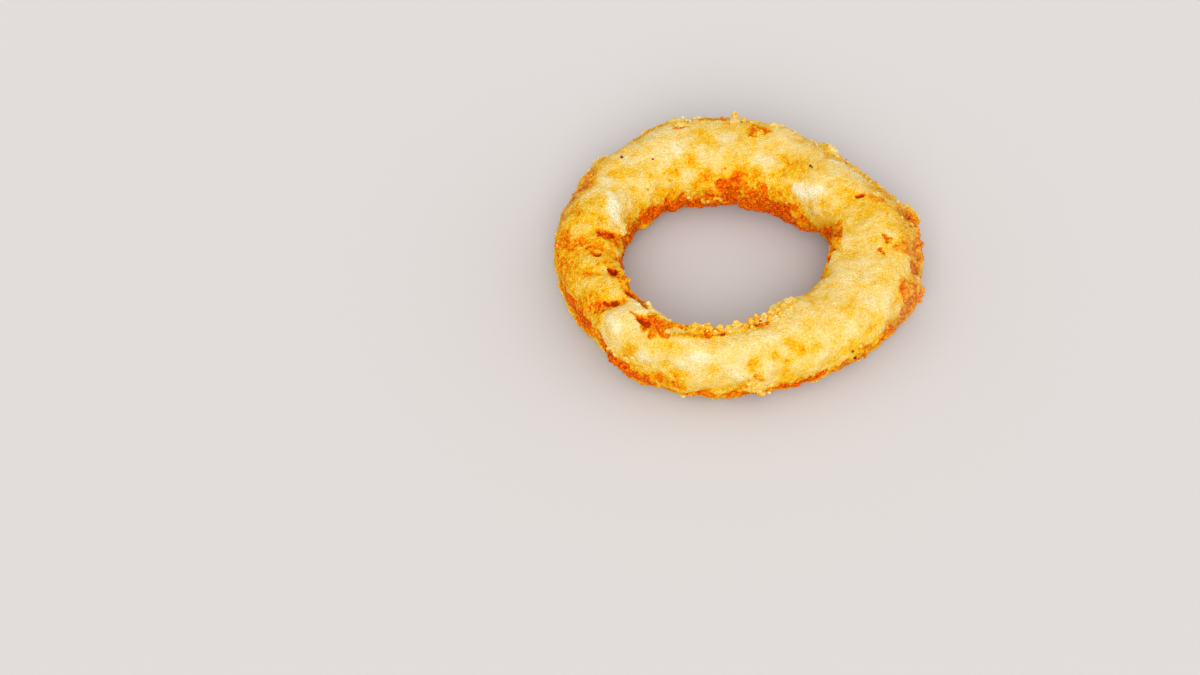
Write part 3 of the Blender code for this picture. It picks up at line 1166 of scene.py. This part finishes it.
def crust_material(name, relief, glow=0.0):
    """Fried crumb, coloured by its tone, with a relief in metres, a little oil and a share of glow."""
    settings = bpy.context.scene.ring_crust
    board = Board(name)
    tone = board.attribute("tone")
    gap, own = board.cells(0.42 * MM)
    fine = board.noise(0.3 * MM, detail=2.0, roughness=0.6)
    plates = board.spread(board.cracks(1.0 * MM), 0.0, 0.12) * board.clamped(tone * 2.4 - 1.0)
    height = (1 - gap) * 1.1 + own * 0.5 + fine * 1.2 + plates * 1.2
    wet = board.noise(0.8 * MM, detail=2.0, offset=7.0)
    return board.surface(
        {
            "Base Color": crust_colour(board, settings, tone),
            "Roughness": board.clamped(0.5 + wet * 1.0 - (own - 0.5) * 0.3),
            "Normal": board.bump(height, relief, 0.9),
            "Coat Weight": board.clamped((wet - 0.12) * 1.6) * settings.oil,
            "Coat Roughness": 0.25,
            "Specular IOR Level": 0.06,
            "Specular Tint": (1.0, 0.6, 0.2, 1.0),
            "Subsurface Weight": glow,
            "Subsurface Radius": (1.0, 0.45, 0.12),
            "Subsurface Scale": 1.3 * MM,
        }
    )


def speck_material():
    """Burnt crumb, nearly black with browner blotches."""
    settings = bpy.context.scene.ring_crust
    board = Board("burnt_speck")
    blotch = board.noise(0.3 * MM, detail=2.0)
    share = board.clamped(board.attribute("tone") * 0.4 + blotch * 0.8)
    return board.surface(
        {
            "Base Color": board.mix(share, (*settings.burnt, 1), (*settings.brown, 1)),
            "Normal": board.bump(blotch, 0.1 * MM, 0.5),
            "Roughness": 0.7,
            "Specular IOR Level": 0.1,
        }
    )


def floor_material():
    """Matt pale paper, very slightly clouded."""
    settings = bpy.context.scene.ring_studio
    board = Board("studio_floor")
    cloud = board.clamped(board.noise(0.4, detail=2.0) + 0.5)
    lighter = tuple(min(1.0, value * 1.01) for value in settings.floor)
    return board.surface(
        {
            "Base Color": board.mix(cloud, (*settings.floor, 1), (*lighter, 1)),
            "Roughness": 0.9,
            "Specular IOR Level": 0.1,
        }
    )


class RING_OT_crust(bpy.types.Operator):
    """Builds the ring's crumb crust over the solid"""

    bl_idname = "ring.crust"
    bl_label = "Crust"

    def execute(self, context):
        settings = context.scene.ring_crust
        rng = np.random.default_rng(settings.seed)
        mesh = smooth_ring_mesh(settings.mesh_step)
        points = mesh_points(mesh)
        if len(points) < 1000:
            raise RuntimeError("the crust's mesh is empty")
        places = ring_places()
        tone, angles = fried_and_painted_tone(places, points)
        crumbly = PALE_RELIEF + (1 - PALE_RELIEF) * step(tone, *CRUMBLY_TONES)
        torn = step(tone, *TORN_TONES)

        grains, grain_numbers = grain_relief(mesh, points, settings.grain_step, rng)
        lumps = noise_at(points, 2.3 * MM, 12.0, 2)
        levels, borders = plate_relief(mesh, points, settings.plate_step, rng)
        lobes, opened = placed_relief(places, points, angles)
        raised = crumbly * (settings.grain_height * grains + settings.lump_height * lumps)
        raised += settings.plate_height * torn * (levels - 0.5 * borders) + lobes
        moved = inside_box(points + mesh_normals(mesh) * raised[:, None])
        mesh.vertices.foreach_set("co", moved.ravel())
        mesh.update()

        # painted shade: the plates' borders and the hollows are made browner than the crust round them,
        # standing in for the shade in grooves and hollows; the high plates are browner too
        tone += torn * (BORDER_SHADE * borders + LEVEL_TONE * levels)
        small, wide = hollows(mesh, HOLLOW_ROUNDS)
        small, wide = np.clip(small / MM, -0.12, 0.30), np.clip(wide / MM, -0.2, 0.8)
        tone += SMALL_HOLLOW_SHADE * small + WIDE_HOLLOW_SHADE * wide
        tone = np.minimum(tone, DEEPEST_TONE + 0.1 * (tone - DEEPEST_TONE)) + opened
        write_values(mesh, "tone", np.clip(tone, 0, 1.1))
        write_values(mesh, "grain", grain_numbers)
        write_values(mesh, "dry", dryness(places, angles))
        mesh.shade_smooth()
        piece = add_piece("crust", mesh, crust_material("crumb_crust", CRUST_BUMP, CRUST_GLOW))
        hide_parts(NODE)
        return {"FINISHED"}


def ball_mesh(fineness):
    """Points and faces of a ball of radius 1. With fineness 0 it has 8 faces."""
    if fineness == 0:
        points = np.array([(1, 0, 0), (0, 1, 0), (-1, 0, 0), (0, -1, 0), (0, 0, 1), (0, 0, -1)], float)
        rim = [(0, 1), (1, 2), (2, 3), (3, 0)]
        return points, np.array([(a, b, 4) for a, b in rim] + [(b, a, 5) for a, b in rim])
    work = bmesh.new()
    bmesh.ops.create_icosphere(work, subdivisions=fineness, radius=1)
    points = np.array([tuple(vert.co) for vert in work.verts])
    faces = np.array([[vert.index for vert in face.verts] for face in work.faces])
    work.free()
    return points, faces


def random_turns(count, rng):
    """Random rotations, as 3 by 3 matrices."""
    four = rng.normal(size=(count, 4))
    w, x, y, z = (four / np.linalg.norm(four, axis=1, keepdims=True)).T
    rows = (
        (1 - 2 * (y * y + z * z), 2 * (x * y - z * w), 2 * (x * z + y * w)),
        (2 * (x * y + z * w), 1 - 2 * (x * x + z * z), 2 * (y * z - x * w)),
        (2 * (x * z - y * w), 2 * (y * z + x * w), 1 - 2 * (x * x + y * y)),
    )
    return np.moveaxis(np.array(rows), 2, 0)


def crumb_mesh(name, places, centres, widths, shape, jitter, fineness, tones, rng):
    """Many uneven crumbs as one mesh.

    Shape is their least and most thickness, as shares of their width. Jitter is how far their
    points stray, as a share of their radius.
    """
    ball, faces = ball_mesh(fineness)
    count = len(centres)
    stretch = np.stack([np.ones(count), rng.uniform(0.6, 1.0, count), rng.uniform(*shape, count)], -1)
    uneven = 1 + rng.uniform(-jitter, jitter, (count, len(ball), 1))
    local = ball[None] * uneven * stretch[:, None] * widths[:, None, None] / 2
    turned = np.einsum("nij,nkj->nki", random_turns(count, rng), local)
    middles = inside_box(centres, margin=widths[:, None] * (0.5 + 0.5 * jitter))
    points = (turned + middles[:, None]).reshape(-1, 3)
    corners = (faces[None] + len(ball) * np.arange(count)[:, None, None]).reshape(-1, 3)
    mesh = bpy.data.meshes.new(name)
    mesh.from_pydata(points.tolist(), [], corners.tolist())
    mesh.update()
    each = len(ball)
    write_values(mesh, "tone", np.repeat(np.clip(tones, 0, 1.1), each))
    write_values(mesh, "grain", np.repeat(rng.uniform(0, 1, count), each))
    write_values(mesh, "dry", np.repeat(dryness(places, places.angles(middles)), each))
    return mesh


def scattered(crust, density, count, clump, size, rng):
    """Crumbs drawn at random, in clumps, over the crust: their faces' numbers, middles and widths."""
    centres, normals, _ = crust
    picks = rng.choice(len(centres), size=count // clump, p=density / density.sum())
    picks = picks.repeat(clump)
    widths = size[0] + (size[1] - size[0]) * rng.uniform(0, 1, len(picks)) ** 1.6
    sunk = rng.uniform(-0.34, 0.06, len(picks)) * widths
    spots = centres[picks] + normals[picks] * sunk[:, None]
    if clump > 1:
        aside = rng.normal(size=(len(picks), 3)) * size[0] * 0.6
        off = (aside * normals[picks]).sum(axis=1, keepdims=True)
        spots += aside - 0.9 * off * normals[picks]
    return picks, spots, widths


def crag_crumbs(places, crust, rng):
    """The crumbs that the crags are piled up from: their middles, widths and tones."""
    centres, normals, tones = crust
    angles = places.angles(centres)
    spots, widths, values = [], [], []
    for around, over, length, width, height, tone in CRAGS:
        place = (around, over)
        near = int(np.argmin(places.distance(angles, place, place)))
        up = (Vector(normals[near]) + Vector((0, 0, 0.5))).normalized()
        along = Vector((-math.sin(math.radians(around)), math.cos(math.radians(around)), 0))
        across = up.cross(along).normalized()
        axes = np.array((across.cross(up), across, up))
        count = int(12 + 10 * length * width * height)

        # crumbs all through a ball, which is then stretched up and drawn in towards its top
        ways = rng.normal(size=(count, 3))
        ways /= np.linalg.norm(ways, axis=1, keepdims=True)
        inside = ways * rng.uniform(0.2, 1, (count, 1)) ** 0.5
        inside[:, 2] = np.abs(inside[:, 2]) * 1.6 - 0.4
        inside[:, :2] *= 1 - 0.45 * np.clip(inside[:, 2:], 0, 1)
        size = np.array((length, width, height)) * MM / 2
        spots.append((inside * size * 0.8) @ axes + centres[near])
        widths.append(rng.uniform(0.35, 0.95, count) * MM)
        values.append(tones[near] * 0.4 + 0.20 + tone + rng.uniform(-0.14, 0.16, count))
    return np.concatenate(spots), np.concatenate(widths), np.concatenate(values)


def crowding(places, angles):
    """How thickly coarse crumbs crowd at places on the crust, and the tone added to them."""
    thick = np.zeros(len(angles[0]))
    added = np.zeros(len(angles[0]))
    for start, end, reach, strength, tone in CROWDS:
        mark = bell(places.distance(angles, start, end), reach * MM)
        thick += strength * mark
        added += tone * mark
    return thick, added


def dryness(places, angles):
    """How dry and tan the crust is at places on it."""
    dry = np.zeros(len(angles[0]))
    for start, end, reach, share in DRY:
        dry = np.maximum(dry, share * bell(places.distance(angles, start, end), reach * MM))
    return dry


def crust_faces():
    """The middles, normals and tones of the finished crust's faces."""
    mesh = bpy.data.objects["crust"].data
    tones = np.empty(len(mesh.vertices), np.float32)
    mesh.attributes["tone"].data.foreach_get("value", tones)
    first = np.empty(len(mesh.polygons), np.int32)
    mesh.polygons.foreach_get("loop_start", first)
    corner = np.empty(len(mesh.loops), np.int32)
    mesh.loops.foreach_get("vertex_index", corner)
    centres = vectors_of(mesh.polygons, "center")
    normals = vectors_of(mesh.polygons, "normal")
    return centres, normals, tones[corner[first]].astype(float)


class RING_OT_crumbs(bpy.types.Operator):
    """Scatters grains, crumbs and flakes over the crust, and piles crumbs up into crags"""

    bl_idname = "ring.crumbs"
    bl_label = "Crumbs"

    def execute(self, context):
        settings = context.scene.ring_crumbs
        if "crust" not in bpy.data.objects:
            raise RuntimeError("the crust has to be built before its crumbs")
        rng = np.random.default_rng(settings.seed)
        places = ring_places()
        crust = crust_faces()
        centres, _, tones = crust
        thick, added = crowding(places, places.angles(centres))

        # crumbs lie in patches, and none where the ring rests on the floor
        patchy = np.clip(0.5 + 1.6 * noise_at(centres, 2.4 * MM, 21.0), 0.05, None)
        bare = centres[:, 2] <= 0.5 * MM
        patchy[bare] = 0

        # how thickly each kind lies on each face
        crumbly = step(tones, 0.28, 0.62)
        all_over = 1.0 + crumbly + 0.5 * thick
        on_brown = 0.5 + 2.0 * crumbly + thick
        in_crowds = 0.25 * crumbly + thick
        on_torn = 0.05 + 0.6 * crumbly + thick

        # name, count, how many lie in a clump, widths, thickness, fineness of the mesh, where
        kinds = (
            ("grains", settings.grain_count, 1, settings.grain_size, (0.6, 1.0), 0, all_over),
            ("fine_crumbs", settings.fine_count, 1, settings.fine_size, (0.4, 0.8), 1, on_brown),
            ("coarse_crumbs", settings.coarse_count, 4, settings.coarse_size, (0.5, 0.9), 2, in_crowds),
            ("flakes", settings.flake_count, 1, settings.flake_size, (0.14, 0.3), 2, on_torn),
        )
        for name, count, clump, size, shape, fineness, density in kinds:
            picks, spots, widths = scattered(crust, density * patchy, count, clump, size, rng)
            own = tones[picks] + added[picks] + rng.normal(size=len(picks)) * 0.07
            mesh = crumb_mesh(name, places, spots, widths, shape, 0.35, fineness, own, rng)
            add_piece(name, mesh, crust_material(name, CRUMB_BUMP))
        spots, widths, own = crag_crumbs(places, crust, rng)
        crags = crumb_mesh("crags", places, spots, widths, (0.5, 0.9), 0.30, 1, own, rng)
        add_piece("crags", crags, crust_material("crags", CRUMB_BUMP))
        return {"FINISHED"}


class RING_OT_specks(bpy.types.Operator):
    """Sets the burnt specks into the crust"""

    bl_idname = "ring.specks"
    bl_label = "Specks"

    def execute(self, context):
        if "crust" not in bpy.data.objects:
            raise RuntimeError("the crust has to be built before its specks")
        rng = np.random.default_rng(context.scene.ring_crumbs.seed + 1)
        places = ring_places()
        centres, normals, _ = crust_faces()
        angles = places.angles(centres)
        spots, widths = [], []
        for around, over, radius in SPECKS:
            place = (around, over)
            near = int(np.argmin(places.distance(angles, place, place)))
            spots.append(centres[near] + normals[near] * radius * 0.2 * MM)
            widths.append(2 * radius * MM)
        spots, widths = np.array(spots), np.array(widths)
        tones = rng.uniform(0, 1, len(spots))
        mesh = crumb_mesh("burnt_specks", places, spots, widths, (0.5, 0.8), 0.2, 2, tones, rng)
        add_piece("burnt_specks", mesh, speck_material())
        return {"FINISHED"}


class RING_OT_studio(bpy.types.Operator):
    """Sets up the floor, the lamps and the camera"""

    bl_idname = "ring.studio"
    bl_label = "Studio"

    def execute(self, context):
        settings = context.scene.ring_studio
        self.add_floor()
        target = (CAD_BOX[0] + CAD_BOX[1]) / 2
        self.add_lamp("key", KEY_FROM, settings.key, settings.key_angle)
        self.add_lamp("fill", FILL_FROM, settings.fill, 2 * settings.key_angle)
        world = bpy.data.worlds.new("studio_sky")
        world.use_nodes = True
        sky = world.node_tree.nodes["Background"].inputs
        sky["Color"].default_value = (*SKY_COLOUR, 1)
        sky["Strength"].default_value = settings.sky
        context.scene.world = world
        self.add_camera(context.scene, settings, target)
        context.scene.view_settings.view_transform = "Standard"
        return {"FINISHED"}

    def add_floor(self):
        """A floor that reaches past the picture's edges."""
        half = 4.0
        corners = [(-half, -half, 0), (half, -half, 0), (half, half, 0), (-half, half, 0)]
        mesh = bpy.data.meshes.new("floor")
        mesh.from_pydata(corners, [], [(0, 1, 2, 3)])
        mesh.materials.append(floor_material())
        floor = bpy.data.objects.new("floor", mesh)
        bpy.context.scene.collection.objects.link(floor)

    def add_lamp(self, name, source, strength, angle):
        """A distant lamp that shines from a direction, evenly over the whole floor."""
        data = bpy.data.lights.new(name, "SUN")
        data.energy = strength
        data.angle = angle
        lamp = bpy.data.objects.new(name, data)
        lamp.rotation_euler = Vector(source).to_track_quat("Z", "Y").to_euler()
        bpy.context.scene.collection.objects.link(lamp)

    def add_camera(self, scene, settings, target):
        """A camera that shows the ring where and as large as the photograph does."""
        data = bpy.data.cameras.new("camera")
        data.lens = settings.lens
        data.sensor_width = 36.0
        camera = bpy.data.objects.new("camera", data)
        scene.collection.objects.link(camera)
        scene.camera = camera
        width = CAD_BOX[1].x - CAD_BOX[0].x
        pixel = width / settings.ring_pixels
        distance = pixel * PHOTO_SIZE[0] * data.lens / data.sensor_width
        back = Vector((0, -math.cos(settings.elevation), math.sin(settings.elevation)))
        right = Vector((1, 0, 0))
        facing = Matrix((right, back.cross(right), back)).transposed()
        film = data.sensor_width / PHOTO_SIZE[0] / data.lens
        swing = math.atan((RING_PIXEL[0] - PHOTO_SIZE[0] / 2) * film)
        nod = math.atan((RING_PIXEL[1] - PHOTO_SIZE[1] / 2) * film)
        turned = facing @ Matrix.Rotation(swing, 3, "Y") @ Matrix.Rotation(nod, 3, "X")
        camera.matrix_world = Matrix.Translation(target + back * distance) @ turned.to_4x4()


class RING_PT_panel(bpy.types.Panel):
    """Lists the ring's pieces and the studio"""

    bl_idname = "RING_PT_panel"
    bl_label = "Onion ring"
    bl_space_type = "VIEW_3D"
    bl_region_type = "UI"
    bl_category = "Onion ring"

    def draw(self, context):
        groups = (
            (context.scene.ring_crust, (RING_OT_crust,)),
            (context.scene.ring_crumbs, (RING_OT_crumbs, RING_OT_specks)),
            (context.scene.ring_studio, (RING_OT_studio,)),
        )
        for settings, operators in groups:
            box = self.layout.box()
            for name in settings.bl_rna.properties.keys():
                if name not in ("rna_type", "name"):
                    box.prop(settings, name)
            for operator in operators:
                box.operator(operator.bl_idname)


CLASSES = (
    CrustSettings,
    CrumbSettings,
    StudioSettings,
    RING_OT_crust,
    RING_OT_crumbs,
    RING_OT_specks,
    RING_OT_studio,
    RING_PT_panel,
)


def register():
    for kind in CLASSES:
        bpy.utils.register_class(kind)
    bpy.types.Scene.ring_crust = bpy.props.PointerProperty(type=CrustSettings)
    bpy.types.Scene.ring_crumbs = bpy.props.PointerProperty(type=CrumbSettings)
    bpy.types.Scene.ring_studio = bpy.props.PointerProperty(type=StudioSettings)


def unregister():
    del bpy.types.Scene.ring_studio
    del bpy.types.Scene.ring_crumbs
    del bpy.types.Scene.ring_crust
    for kind in reversed(CLASSES):
        bpy.utils.unregister_class(kind)


def main():
    register()
    bpy.ops.ring.crust()
    bpy.ops.ring.crumbs()
    bpy.ops.ring.specks()
    bpy.ops.ring.studio()


if __name__ == "__main__":
    main()
